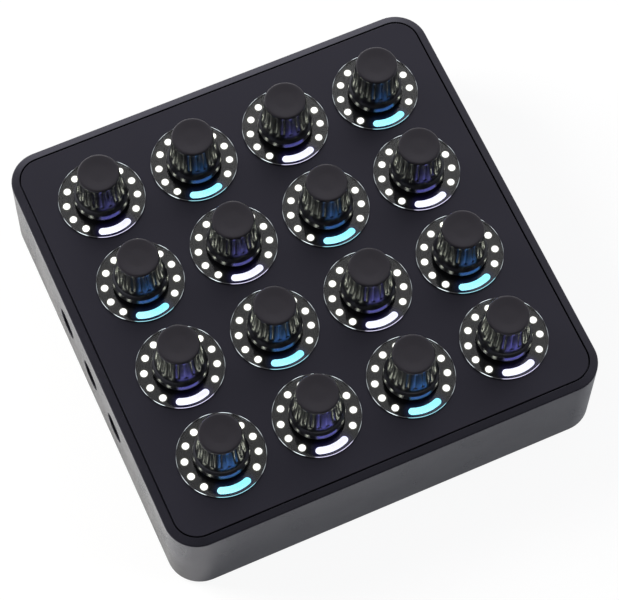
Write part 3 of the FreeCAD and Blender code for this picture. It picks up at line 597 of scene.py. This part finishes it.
KNOB_BOTTOM, KNOB_TOP, SKIRT_RADIUS = 42.5, 60.1, 9.92
BORE_RADIUS, BORE_TOP, HOLLOW_RADIUS, HOLLOW_TOP = 3.06, 56.0, 8.9, 43.0
SKIRT_TOP, SHOULDER, GRIP_BOTTOM, GRIP_TOP = 45.0, 9.7, 48.2, 59.2
GRIP_LOW, GRIP_HIGH, TOP_EDGE = 8.3, 7.58, 6.8
SHOULDER_LEAD, FLARE_START, FLARE_PULL = (8.93, 45.65), (9.12, 45.5), (8.46, 46.1)
LOBES, LOBE_COLUMNS, LOBE_POWER = 18, 18, 2.8
GROOVE_DEPTH, GROOVE_SHARE, GROOVE_RISE, GROOVE_END = 0.30, 0.14, 0.8, 0.25
DISH_FLAT, DISH_MIDDLE, DISH_DEPTH, DISH_EASE = 3.2, 1.6, 0.26, 0.35
SHAFT_RADIUS, SHAFT_BOTTOM, SHAFT_TOP = 2.98, 30.2, 55.9
# How far each knob stands turned, in degrees, along the rows from the front left as for the rings.
LOBE_TURNS = (16.7, 1.6, 2.3, 8.2, 13.4, 8.5, 8.0, 5.1, 2.2, 1.7, 9.9, 13.4, 4.0, 7.6, 11.1, 9.1)

# The inside and the skirt. The last corner only leads the shoulder towards the flare, and is dropped.
skirt_corners = [(0, BORE_TOP), (BORE_RADIUS, BORE_TOP), (BORE_RADIUS, HOLLOW_TOP),
                 (HOLLOW_RADIUS, HOLLOW_TOP), (HOLLOW_RADIUS, KNOB_BOTTOM), (SKIRT_RADIUS, KNOB_BOTTOM),
                 (SHOULDER, SKIRT_TOP), SHOULDER_LEAD]
skirt = eased_corners(skirt_corners, [0, 0, 0.2, 0, 0.1, 0.14, 0.5, 0])[:-1]
# The flare is a curve that leaves its start towards the pull and reaches the grip coming from the pull.
flare_start, flare_pull = np.array(FLARE_START), np.array(FLARE_PULL)
grip_foot, grip_head = np.array([GRIP_LOW, GRIP_BOTTOM]), np.array([GRIP_HIGH, GRIP_TOP])
share = np.linspace(0, 1, 12)[:, None]
flare = (1 - share) ** 2 * flare_start + 2 * share * (1 - share) * flare_pull + share ** 2 * grip_foot
rise = np.concatenate([np.linspace(0, 0.1, 9)[1:], np.linspace(0.1, 1, 12)[1:]])[:, None]
grip = grip_foot + rise * (grip_head - grip_foot)
# The top's edge is a quarter of an ellipse, and the dish falls from it in a slope with soft ends.
round_over = np.linspace(0, math.pi / 2, 8)[1:]
top_edge = np.stack([TOP_EDGE + (GRIP_HIGH - TOP_EDGE) * np.cos(round_over),
                     GRIP_TOP + (KNOB_TOP - GRIP_TOP) * np.sin(round_over)], axis=1)
dish_radius = np.concatenate([np.linspace(TOP_EDGE, DISH_FLAT, 9)[1:], [DISH_MIDDLE, 0.0]])
slope = np.clip((TOP_EDGE - dish_radius) / (TOP_EDGE - DISH_FLAT), 0, 1)
fallen = DISH_EASE * (1 - np.cos(math.pi * slope)) / 2 + (1 - DISH_EASE) * slope
dish = np.stack([dish_radius, KNOB_TOP - DISH_DEPTH * fallen], axis=1)
knob_profile = np.concatenate([skirt, flare, grip, top_edge, dish])
matt_from = len(skirt) + len(flare) + len(grip) + 2


def lobed(profile, turned_by):
    """Rows of points: the profile turned about the shaft, with upright lobes and grooves round the grip.
    From a lobe's middle line to its groove the radius falls by a power of the share of the way, and the
    last share is a parabola that meets its mirror image level, so that the groove has a small round floor.
    The grooves fade in over a short rise above the grip's lower end, and fade out at its top. The bore and
    the hollow, which lie well inside the grip, have none."""
    turn = np.linspace(0, 2 * math.pi, LOBES * LOBE_COLUMNS, endpoint=False)
    radius, level = profile[:, :1], profile[:, 1:]
    share = np.abs((LOBES * turn + math.pi) % (2 * math.pi) - math.pi) / math.pi
    steep = 1 - GROOVE_SHARE
    into_floor = np.clip((share - steep) / GROOVE_SHARE, 0, 1)
    fall = np.minimum(share, steep) ** LOBE_POWER
    fall = fall + LOBE_POWER * steep ** (LOBE_POWER - 1) * GROOVE_SHARE * (into_floor - into_floor ** 2 / 2)
    low_share = np.clip((level - GRIP_BOTTOM) / GROOVE_RISE, 0, 1)
    high_share = np.clip((GRIP_TOP + GROOVE_END - level) / (2 * GROOVE_END), 0, 1)
    fade = low_share ** 2 * (3 - 2 * low_share) * high_share * (radius > GRIP_LOW - 1)
    cut = radius - GROOVE_DEPTH * fade * fall / fall.max()
    turn = turn + math.radians(turned_by)
    return np.stack([cut * np.cos(turn), cut * np.sin(turn), level + 0 * turn], axis=2) * mm


knob_gloss = Finish("knob_glossy_sides", (0.0042, 0.0042, 0.0055), 0.30, specular=0.55,
                    sheen_tint=(0.84, 0.86, 1.0))
knob_gloss.vary(0.08, 0.015, 120)
knob_matt = Finish("knob_matt_top", (0.0080, 0.0068, 0.0085), 0.37, specular=0.55,
                   sheen_tint=(0.9, 0.87, 1.0))
knob_matt.vary(0.06, 0.025, 700)
knob_matt.bump(knob_matt.noise(9000, 1.0), 0.01 * mm)

shaft_steel = Finish("shaft_steel", (0.55, 0.54, 0.52), 0.28, metallic=1.0)
shaft_steel.vary(0.05, 0.05, 900)

shaft_profile = eased_corners(rod(SHAFT_RADIUS, SHAFT_BOTTOM, SHAFT_TOP), [0, 0.3, 0.3, 0], 3)
# The knobs are numbered along the rows from the back left.
for number in range(1, 17):
    index = (3 - (number - 1) // 4) * 4 + (number - 1) % 4
    knob_rows = lobed(knob_profile, LOBE_TURNS[index])
    knob = skin("knob_%02d_lobed" % number, (knob_rows[:matt_from + 1], 0), (knob_rows[matt_from:], 1),
                (turned(shaft_profile, 32), 2), sharp=42)
    knob.transform(Matrix.Translation(Vector((*centres[index], 0)) * mm))
    piece("knob_%02d_lobed" % number, knob, "knob_%02d" % number,
          [knob_gloss, knob_matt, shaft_steel], ["knob_%02d" % number])


# Side buttons: three round caps in each side wall, a little below its face, each with a flange
# behind the wall and a stem that reaches its switch. They are moulded in dark grey plastic.

STEM_END, STEM_RADIUS = 76.85, 2.0
FLANGE_BACK, FLANGE_FRONT, FLANGE_RADIUS = 77.75, 78.75, 6.2
CAP_RADIUS, CAP_FACE, CAP_MIDDLE = 5.5, 81.05, 80.85

button_corners = [(0, STEM_END), (STEM_RADIUS, STEM_END), (STEM_RADIUS, FLANGE_BACK),
                  (FLANGE_RADIUS, FLANGE_BACK), (FLANGE_RADIUS, FLANGE_FRONT), (CAP_RADIUS, FLANGE_FRONT),
                  (CAP_RADIUS, CAP_FACE), (0, CAP_MIDDLE)]
button_profile = eased_corners(button_corners, [0, 0.2, 0, 0.2, 0.2, 0, 0.45, 0], 5)
button_plastic = Finish("button_plastic", (0.016, 0.0155, 0.018), 0.38)
button_plastic.vary(0.1, 0.04, 300)
button_plastic.bump(button_plastic.noise(8000, 1.0), 0.008 * mm)
for side, wall in (("left", -1), ("right", 1)):
    for number, step in enumerate((1, 0, -1), start=1):
        name = "side_button_%s_%d" % (side, number)
        cap = skin(name + "_cap", turned(button_profile, 64, (step * BUTTON_STEP, BUTTON_LEVEL), wall))
        keep_flats(piece(name + "_cap", cap, name, [button_plastic], [name]))


# Bottom cover: a moulded plastic sheet let in between the walls from below, with a grained underside.
# It is bored for eight screws, four near its corners and four further in.

COVER_HALF, COVER_CORNER, COVER_THICKNESS = 78.4, 8.2, 3.0
OUTER_SCREW, INNER_SCREW, SCREW_HOLE = 72.0, 36.0, 1.6
CORNERS = ((-1, -1), (1, -1), (1, 1), (-1, 1))

cover_top = CASE_BOTTOM + COVER_THICKNESS
screw_places = [(x * offset, y * offset) for offset in (OUTER_SCREW, INNER_SCREW) for x, y in CORNERS]
cover_corners = [(COVER_HALF, cover_top), (0, cover_top), (0, CASE_BOTTOM), (COVER_HALF, CASE_BOTTOM)]
cover_profile = eased_corners(cover_corners, [0, 0, 0.3, 0])
blank_cover = skin("bottom_cover_sheet", carried_round_square(cover_profile, COVER_HALF, COVER_CORNER))
screw_drill = rod(SCREW_HOLE, CASE_BOTTOM - 1, cover_top + 1)
cover_drills = skin("cover_drills", *[turned(screw_drill, 24, place) for place in screw_places])
bored_cover = drilled(blank_cover, cover_drills)
cover_plastic = Finish("cover_moulded_plastic", (0.014, 0.0138, 0.016), 0.55)
cover_plastic.vary(0.12, 0.05, 40)
cover_plastic.bump(cover_plastic.noise(2600, 3.0), 0.03 * mm)
keep_flats(piece("bottom_cover_sheet", bored_cover, "controller", [cover_plastic],
                 ["bottom_cover"]))


# Cover screws: pan heads with a cross recess, in black steel, driven up through the cover.
# The outer four go into the case's corner posts and are a little longer than the inner four.

HEAD_RADIUS, HEAD_LOW, HEAD_DOME = 2.8, 0.5, 0.9
SHANK_RADIUS, SHANK_TIP, TIP_LENGTH = 1.45, 1.1, 0.4
OUTER_SHANK, INNER_SHANK = 9.0, 8.0
CROSS_HALF_WIDTH, CROSS_SLOPE, CROSS_REACH, CROSS_END, CROSS_DEPTH = 0.42, 0.12, 1.65, 0.25, 0.8


def screw_rows(place, length):
    """Rows of points for one screw: a domed head below the cover, with a cross sunk in it, and a shank.
    The dome rises with the cube of the radius. The cross is sunk where a point of the head lies near either
    axis and inside the reach of the recess, and has sloping sides."""
    sides = 48
    turn = np.linspace(0, 2 * math.pi, sides, endpoint=False)
    tip = CASE_BOTTOM + length
    shank = np.array([(0, tip), (SHANK_TIP, tip), (SHANK_RADIUS, tip - TIP_LENGTH),
                      (SHANK_RADIUS, CASE_BOTTOM), (HEAD_RADIUS, CASE_BOTTOM)])
    out = np.array([2.8, 2.78, 2.6, 2.2, 1.9, 1.6, 1.45, 1.3, 1.1, 0.9, 0.75, 0.6, 0.45, 0.3, 0.15, 0.0])
    level = HEAD_LOW + HEAD_DOME * (out / HEAD_RADIUS) ** 3
    radius, up = out[:, None] + 0 * turn, level[:, None] + 0 * turn
    across, along = radius * np.cos(turn), radius * np.sin(turn)
    near_axis = np.minimum(np.abs(across), np.abs(along))
    sunk = np.clip((CROSS_HALF_WIDTH - near_axis) / CROSS_SLOPE, 0, 1)
    sunk = sunk * np.clip((CROSS_REACH - radius) / CROSS_END, 0, 1)
    head = np.stack([across + place[0], along + place[1], up + CROSS_DEPTH * sunk], axis=2)
    return np.concatenate([turned(shank, sides, place), head * mm])


shanks = [OUTER_SHANK if abs(x) == OUTER_SCREW else INNER_SHANK for x, _ in screw_places]
screw_sheets = [screw_rows(place, length) for place, length in zip(screw_places, shanks)]
screw_steel = Finish("screw_black_steel", (0.045, 0.044, 0.043), 0.34, metallic=1.0)
screw_steel.vary(0.15, 0.06, 1500)
piece("cover_screw_heads", skin("cover_screw_heads", *screw_sheets), "controller",
      [screw_steel], ["cover_screws"])


# Rubber feet: four round pads of soft black rubber, moulded with a rounded edge and a shallow hollow,
# and stuck to the cover.

FOOT_PLACE, FOOT_TOP_RADIUS, FOOT_RADIUS = 62.0, 6.15, 5.6
HOLLOW_EDGE, HOLLOW_FLOOR, HOLLOW_DEPTH = 4.6, 4.2, 0.25

foot_corners = [(0, CASE_BOTTOM), (FOOT_TOP_RADIUS, CASE_BOTTOM), (FOOT_RADIUS, 0), (HOLLOW_EDGE, 0),
                (HOLLOW_FLOOR, HOLLOW_DEPTH), (0, HOLLOW_DEPTH)]
foot_profile = eased_corners(foot_corners, [0, 0.15, 0.5, 0.1, 0.1, 0], 5)
foot_sheets = [turned(foot_profile, 64, (x * FOOT_PLACE, y * FOOT_PLACE)) for x, y in CORNERS]
foot_rubber = Finish("foot_rubber", (0.012, 0.012, 0.0125), 0.72, specular=0.35)
foot_rubber.vary(0.15, 0.06, 400)
foot_rubber.bump(foot_rubber.noise(3000, 3.0), 0.04 * mm)
keep_flats(piece("rubber_foot_pads", skin("rubber_foot_pads", *foot_sheets), "controller",
                 [foot_rubber], ["rubber_feet"]))


# What stays inside: boards, lamps, encoders, switches, standoffs, chips and the socket keep their CAD
# shapes, and each gets its own finish: green boards, cast zinc, black mouldings, brass and plated steel.

def keep_node(finish, *names):
    """Gives the finish to CAD nodes whose shapes are kept."""
    for name in names:
        own = nodes[name].data.materials
        own.clear()
        own.append(finish.material)


solder_mask = Finish("board_solder_mask", (0.006, 0.022, 0.012), 0.35)
solder_mask.vary(0.3, 0.08, 500)
solder_mask.bump(solder_mask.noise(1800, 2.0), 0.02 * mm)
keep_node(solder_mask, "led_board", "main_board", "side_board_left", "side_board_right")

lamp_package = Finish("lamp_package", (0.75, 0.74, 0.66), 0.3)
lamp_package.vary(0.04, 0.05, 900)
keep_node(lamp_package, "white_leds", "colour_leds")

die_cast = Finish("encoder_die_cast", (0.42, 0.42, 0.43), 0.4, metallic=1.0)
die_cast.vary(0.08, 0.08, 700)
keep_node(die_cast, "encoder_housings")

switch_black = Finish("switch_plastic", (0.02, 0.02, 0.021), 0.45)
switch_black.vary(0.15, 0.05, 700)
keep_node(switch_black, "side_switches", "board_header", *["plunger_%02d" % n for n in range(1, 17)])

chip_black = Finish("chip_epoxy", (0.015, 0.015, 0.016), 0.6)
chip_black.vary(0.15, 0.05, 1200)
chip_black.bump(chip_black.noise(7000, 2.0), 0.01 * mm)
keep_node(chip_black, "controller_chip", "led_drivers")

brass = Finish("standoff_brass", (0.62, 0.45, 0.20), 0.3, metallic=1.0)
brass.vary(0.06, 0.06, 900)
keep_node(brass, "tall_standoffs", "middle_standoffs", "short_standoffs")

socket_steel = Finish("socket_plated_steel", (0.60, 0.60, 0.61), 0.25, metallic=1.0)
socket_steel.vary(0.05, 0.06, 900)
keep_node(socket_steel, "usb_shell")

socket_plastic = Finish("socket_plastic", (0.02, 0.02, 0.021), 0.4)
socket_plastic.vary(0.15, 0.05, 900)
keep_node(socket_plastic, "usb_insert")


# Photo stand: a floor of white card and a white backdrop, under two soft lamps and the soft light
# of a studio. The camera stands where it stood for the photograph.

FLOOR_HALF = 3.0
LIT_WHITE = 0.86


def floor_finish():
    """White card. It takes the shadow, and looks white to the camera and through clear parts.
    In the case's glossy sides it shows dark close to the case, where it lies in shade, and further out a
    painted white glow that only glossy rays see, which paints the reflection in those sides: soon on the
    left, and slowly in front, where it stays darker towards the right."""
    card = Finish("floor_card", (LIT_WHITE, LIT_WHITE, LIT_WHITE), 0.9, specular=0.0)
    x, y, _ = card.split(card.place())
    # Painted glow, seen only in glossy rays, which paints the floor's reflection in the case's left and
    # front sides.
    left = x.eased(-84.2 * mm, -89.0 * mm)
    front = y.eased(-84.5 * mm, -101.0 * mm, 0.0, 0.30) + y.eased(-100.0 * mm, -160.0 * mm, 0.0, 0.24)
    front = front * x.eased(-30.0 * mm, 90.0 * mm, 1.0, 0.2)
    ray = card.node("LightPath")
    to_camera = Reading(card, ray.outputs["Is Camera Ray"]) * LIT_WHITE
    painted_mirror_glow = Reading(card, ray.outputs["Is Glossy Ray"]) * (left.of("MAXIMUM", front) * 0.95 + 0.05)
    through_glass = Reading(card, ray.outputs["Is Transmission Ray"]) * LIT_WHITE
    white = card.node("Emission", None, {"Color": (1, 1, 1, 1), "Strength": 1.04})
    card.show(card.blend(to_camera + painted_mirror_glow + through_glass, card.shader, white))
    return card


floor_corners = [(x * FLOOR_HALF, y * FLOOR_HALF, 0) for x, y in CORNERS]
floor_mesh = bpy.data.meshes.new("floor")
floor_mesh.from_pydata(floor_corners, [], [(0, 1, 2, 3)])
floor = bpy.data.objects.new("floor", floor_mesh)
bpy.context.scene.collection.objects.link(floor)
floor.data.materials.append(floor_finish().material)


class Studio(Finish):
    """The light that comes from all round, made with the same methods as a finish."""

    def __init__(self, name):
        world = bpy.data.worlds.new(name)
        bpy.context.scene.world = world
        world.use_nodes = True
        self.tree = world.node_tree
        self.tree.nodes.clear()
        self.output = self.node("OutputWorld")


# How bright the studio looks in glossy parts, from straight in front at 0 to straight behind at 1.
STUDIO_LEVELS = ((0.05, 0.06), (0.25, 0.09), (0.44, 0.30), (0.55, 0.27), (0.65, 0.26), (0.69, 0.31),
                 (0.73, 0.44), (0.80, 0.525), (0.885, 0.46), (0.94, 1.15))

studio = Studio("studio")
sideways, lengthways, _ = studio.split(studio.node("TexCoord").outputs["Generated"])
stops = [(place, (level, level, level, 1)) for place, level in STUDIO_LEVELS]
ramp = studio.node("ValToRGB", {"stops": stops}, {0: (lengthways + 1.0) / 2.0})
mirrored_light = Reading(studio, ramp.outputs[0]) * sideways.eased(0.05, 0.33, 1.48, 2.22)
backdrop = studio.node("Background", None, {"Color": (1, 1, 1, 1), "Strength": 1.0})
mirrored = studio.node("Background", None, {"Color": (1, 1, 1, 1), "Strength": mirrored_light})
ambient = studio.node("Background", None, {"Color": (0.93, 0.95, 1, 1), "Strength": 0.28})
ray = studio.node("LightPath")
around = studio.blend(ray.outputs["Is Glossy Ray"], ambient, mirrored)
studio.show(studio.blend(ray.outputs["Is Camera Ray"], around, backdrop))


def softbox(name, position, size, watts, colour):
    """Square lamp at a place in metres, aimed at the middle of the case."""
    lamp = bpy.data.lights.new(name, "AREA")
    lamp.energy, lamp.size, lamp.color = watts, size, colour
    holder = bpy.data.objects.new(name, lamp)
    bpy.context.scene.collection.objects.link(holder)
    holder.location = position
    holder.visible_glossy = False
    holder.rotation_euler = (Vector((0, 0, 0.02)) - Vector(position)).to_track_quat("-Z", "Y").to_euler()


softbox("left_softbox", (-0.75, 0.62, 0.62), 0.6, 16.0, (1.0, 0.975, 0.93))
softbox("right_softbox", (0.9, -0.5, 0.9), 0.7, 7.0, (0.92, 0.95, 1.0))

TARGET = Vector((-2.17, -12.58, CASE_TOP)) * mm
AZIMUTH, ELEVATION, ROLL = [math.radians(angle) for angle in (-25.376, 65.268, 1.298)]
DISTANCE = 942.14 * mm
FOCAL_PIXELS, FRAME_PIXELS = 2667.25, 619

back = Vector((math.sin(AZIMUTH) * math.cos(ELEVATION), -math.cos(AZIMUTH) * math.cos(ELEVATION),
               math.sin(ELEVATION)))
level_right = (-back).cross(Vector((0, 0, 1))).normalized()
level_up = level_right.cross(-back)
right = math.cos(ROLL) * level_right + math.sin(ROLL) * level_up
up = math.cos(ROLL) * level_up - math.sin(ROLL) * level_right
lens = bpy.data.cameras.new("camera")
lens.sensor_width = 36.0
lens.lens = FOCAL_PIXELS / FRAME_PIXELS * lens.sensor_width
lens.clip_start, lens.clip_end = 0.01, 20
camera = bpy.data.objects.new("camera", lens)
bpy.context.scene.collection.objects.link(camera)
facing = Matrix((right, up, back)).transposed().to_4x4()
camera.matrix_world = Matrix.Translation(TARGET + back * DISTANCE) @ facing
bpy.context.scene.camera = camera
bpy.context.scene.view_settings.view_transform = "Standard"
